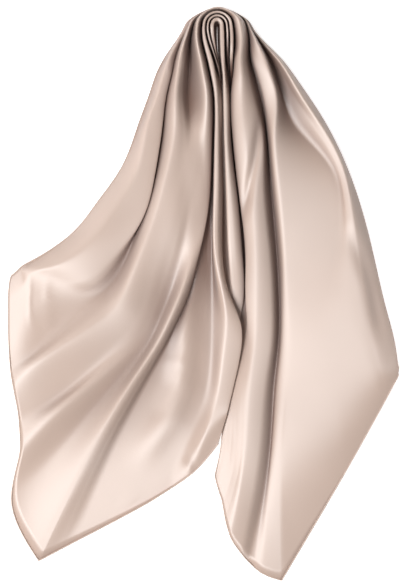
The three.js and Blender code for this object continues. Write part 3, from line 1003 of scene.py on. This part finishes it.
def link_piece(name: str, mesh: bpy.types.Mesh, material: bpy.types.Material) -> bpy.types.Object:
    """Puts a finished mesh in the scene.

    Args:
        name: the piece's name.
        mesh: its mesh, in the scene's own frame.
        material: its finish.

    Returns:
        The new object.
    """
    mesh.materials.append(material)
    piece = bpy.data.objects.new(name, mesh)
    bpy.context.scene.collection.objects.link(piece)
    LOG.info("%s: %d faces", name, len(mesh.polygons))
    return piece


@dataclass
class Scarf:
    """The scarf's panel of satin, in its place over the middle of the solids' box."""

    box: tuple[Vector, Vector]
    width: float = 0.50  # m, of the flat cloth
    length: float = 1.50  # m
    sheet: DrapedSheet = field(default_factory=DrapedSheet)
    offset: np.ndarray = field(init=False)

    def __post_init__(self) -> None:
        """Finds how far the sheet is moved to its place."""
        low = self.sheet.points.reshape(-1, 3).min(axis=0)[:2] * MM
        high = self.sheet.points.reshape(-1, 3).max(axis=0)[:2] * MM
        middle = (np.array(self.box[0]) + np.array(self.box[1]))[:2] / 2
        self.offset = np.array([*(middle - (low + high) / 2), 0.0])

    def build(self, satin: bpy.types.Material) -> bpy.types.Object:
        """Makes the panel of cloth. The order of its rows and columns makes its faces point up.

        Args:
            satin: its finish.

        Returns:
            The panel.
        """
        grid = self.sheet.points * MM + self.offset
        rows, columns = grid.shape[:2]
        shape = bmesh.new()
        bmesh.ops.create_grid(shape, x_segments=columns - 1, y_segments=rows - 1, size=HALF_GRID)
        for vertex in shape.verts:
            column = round((vertex.co.x + HALF_GRID) * (columns - 1))
            row = round((vertex.co.y + HALF_GRID) * (rows - 1))
            vertex.co = grid[row, column]
        mesh = finished_mesh("satin panel", shape)
        mark_cloth(mesh, self._flat_cut(), self.sheet.hollow)
        mesh.shade_smooth()
        panel = link_piece("satin_panel", mesh, satin)
        wall = panel.modifiers.new("cloth wall", "SOLIDIFY")
        wall.thickness = WALL * MM
        wall.offset = 0.0
        wall.use_quality_normals = True
        return panel

    def _flat_cut(self) -> np.ndarray:
        """Lays the grid out flat on the cut.

        Returns:
            A place in metres for each point, row by row.
        """
        along = self.sheet.stations / self.sheet.stations[-1] * self.length
        girth = np.linalg.norm(np.diff(self.sheet.points, axis=1), axis=2).mean(axis=0)
        across = np.concatenate([[0], np.cumsum(girth)])
        across *= self.width / across[-1]
        return np.stack(np.meshgrid(across, along), axis=-1).reshape(-1, 2)


def beside_and_over(tangents: np.ndarray, ups: np.ndarray) -> tuple[np.ndarray, np.ndarray]:
    """Two directions square to a line at each of its points.

    Args:
        tangents: directions along the line.
        ups: a direction for each point that doesn't run along the line, or one for all.

    Returns:
        Unit vectors to the side of the line, and unit vectors square to it and to them.
    """
    side = np.cross(tangents, ups)
    side /= np.linalg.norm(side, axis=1)[:, None]
    over = np.cross(side, tangents)
    over /= np.linalg.norm(over, axis=1)[:, None]
    return side, over


def sweep_round(line: np.ndarray, ups: np.ndarray, radius: float, sides: int) -> bmesh.types.BMesh:
    """Sweeps a round section once round a closed line.

    Args:
        line: points of the line in metres, without its first one again at its end.
        ups: a direction for each point that doesn't run along the line.
        radius: radius of the section, in metres.
        sides: number of facets round it.

    Returns:
        The closed tube. Its layer "place" holds the number of the line's point for each vertex.
    """
    side, over = beside_and_over(np.roll(line, -1, axis=0) - np.roll(line, 1, axis=0), ups)
    count = len(line)
    shape = bmesh.new()
    bmesh.ops.create_grid(shape, x_segments=sides, y_segments=count, size=HALF_GRID)
    marks = shape.verts.layers.int.new("place")
    for vertex in shape.verts:
        turn = 2 * math.pi * round((vertex.co.x + HALF_GRID) * sides) / sides
        place = round((vertex.co.y + HALF_GRID) * count) % count
        vertex.co = line[place] + radius * (side[place] * math.cos(turn) + over[place] * math.sin(turn))
        vertex[marks] = place
    bmesh.ops.remove_doubles(shape, verts=shape.verts, dist=SAME_PLACE)
    bmesh.ops.recalc_face_normals(shape, faces=shape.faces)
    return shape


@dataclass
class RolledHem:
    """The narrow hem, rolled over and whipped down with thread round the whole border of the panel."""

    sheet: DrapedSheet
    offset: np.ndarray
    radius: float = 1.1  # mm
    sides: int = 8
    stitch: float = 5.5  # mm from stitch to stitch
    thread: float = 0.3  # mm, the thread's thickness
    thread_sides: int = 4
    thread_proud: float = 0.2  # share of its thickness by which the thread's middle stands off the roll
    stitch_points: int = 10
    reach: int = 3  # points to each side over which the thread's direction is taken
    line: np.ndarray = field(init=False)

    def __post_init__(self) -> None:
        """Finds the middle line of the roll, once round the border."""
        self.line = self.sheet.border(self.sheet.points)
        self.line[:, 2] = np.maximum(self.line[:, 2], self.radius + self.thread)

    def roll(self, satin: bpy.types.Material) -> bpy.types.Object:
        """Makes the rolled cloth.

        Args:
            satin: its finish.

        Returns:
            The roll, which holds the same attributes as the panel.
        """
        ups = np.tile([0.0, 0.0, 1.0], (len(self.line), 1))
        shape = sweep_round(self.line * MM + self.offset, ups, self.radius * MM, self.sides)
        marks = shape.verts.layers.int["place"]
        places = np.array([vertex[marks] for vertex in shape.verts])
        mesh = finished_mesh("rolled hem", shape)
        spots = np.empty(len(mesh.vertices) * 3, dtype=np.float32)
        mesh.vertices.foreach_get("co", spots)
        # the roll takes the painted shade of the panel's border
        mark_cloth(mesh, spots.reshape(-1, 3)[:, :2], self.sheet.border(self.sheet.hollow)[places])
        mesh.shade_smooth()
        return link_piece("rolled_hem", mesh, satin)

    def whip(self, thread: bpy.types.Material) -> bpy.types.Object:
        """Makes the sewing thread, which winds round the roll.

        Args:
            thread: its finish.

        Returns:
            The thread.
        """
        steps = np.linalg.norm(np.roll(self.line, -1, axis=0) - self.line, axis=1)
        along = np.concatenate([[0], np.cumsum(steps)])
        stitches = round(along[-1] / self.stitch)
        share = np.arange(stitches * self.stitch_points) / (stitches * self.stitch_points)
        closed = np.vstack([self.line, self.line[:1]])
        centre = np.stack([np.interp(share * along[-1], along, closed[:, k]) for k in range(3)], axis=1)
        tangents = np.roll(centre, -self.reach, axis=0) - np.roll(centre, self.reach, axis=0)
        side, over = beside_and_over(tangents, np.array([0.0, 0.0, 1.0]))
        turn = (share * stitches * 2 * math.pi)[:, None]
        away = side * np.cos(turn) + over * np.sin(turn)
        line = centre + away * (self.radius + self.thread_proud * self.thread)
        shape = sweep_round(line * MM + self.offset, away, self.thread / 2 * MM, self.thread_sides)
        mesh = finished_mesh("hem thread", shape)
        mesh.shade_smooth()
        return link_piece("hem_thread", mesh, thread)


# ---- the studio ------------------------------------------------------------------------------------------


@dataclass(frozen=True)
class SoftLight:
    """A square lamp that faces the scarf, with its place and size in metres and its power in watts."""

    name: str
    place: tuple[float, float, float]
    size: float
    power: float
    colour: str = "#FFFFFF"

    def build(self) -> None:
        """Puts the lamp in the scene."""
        data = bpy.data.lights.new(self.name, "AREA")
        data.size = self.size
        data.energy = self.power
        data.color = linear(self.colour)[:3]
        light = bpy.data.objects.new(self.name, data)
        light.location = self.place
        light.rotation_euler = Vector(self.place).to_track_quat("Z", "Y").to_euler()
        bpy.context.scene.collection.objects.link(light)


@dataclass
class Studio:
    """A plain white table, soft lights and the camera straight above."""

    middle: tuple[float, float] = (-0.0057, 0.0034)  # m, the plan point under the camera
    view_height: float = 0.9125  # m of the table from the view's lower edge to its upper one
    distance: float = 6.0  # m
    far: float = 100.0  # m, past which the camera sees nothing
    sensor: float = 36.0  # mm
    table: float = 4.0  # m, half the table's width
    air_colour: str = "#FFFFFF"
    air_light: float = 0.22
    lights: tuple[SoftLight, ...] = (
        SoftLight("window", place=(-2.2, -1.1, 4.5), size=2.3, power=262.0),
        SoftLight("side window", place=(-3.2, 2.6, 2.0), size=2.0, power=35.0),
        SoftLight("bounce", place=(2.2, -0.6, 1.6), size=1.6, power=2.0, colour="#FFE9DD"),
    )

    def build(self) -> None:
        """Makes the floor, the lights and the camera."""
        shape = bmesh.new()
        bmesh.ops.create_grid(shape, x_segments=1, y_segments=1, size=self.table)
        floor = link_piece("table", finished_mesh("table", shape), Paper().build())
        floor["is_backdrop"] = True
        for light in self.lights:
            light.build()
        self._fill_air()
        self._set_camera()
        bpy.context.scene.view_settings.view_transform = "Standard"

    def _fill_air(self) -> None:
        """Lights the scene evenly from all round."""
        world = bpy.data.worlds.new("studio air")
        world.use_nodes = True
        background = world.node_tree.nodes["Background"]
        background.inputs["Color"].default_value = linear(self.air_colour)
        background.inputs["Strength"].default_value = self.air_light
        bpy.context.scene.world = world

    def _set_camera(self) -> None:
        """Hangs the camera straight above the scarf."""
        data = bpy.data.cameras.new("camera")
        data.sensor_width = self.sensor
        data.lens = self.sensor * self.distance / self.view_height
        data.clip_end = self.far
        camera = bpy.data.objects.new("camera", data)
        camera.location = (*self.middle, self.distance)
        bpy.context.scene.collection.objects.link(camera)
        bpy.context.scene.camera = camera


def main() -> None:
    """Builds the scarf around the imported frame."""
    logging.basicConfig(level=logging.INFO, format="%(name)s: %(message)s")
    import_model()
    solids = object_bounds()
    Studio().build()
    scarf = Scarf(box=solids)
    satin = Satin().build()
    panel = scarf.build(satin)
    border = RolledHem(scarf.sheet, scarf.offset)
    hem = border.roll(satin)
    thread = border.whip(Thread().build())
    for piece in (panel, hem, thread):
        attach(piece, "root")
    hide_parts("left_fall", "crown", "right_fall")


if __name__ == "__main__":
    main()
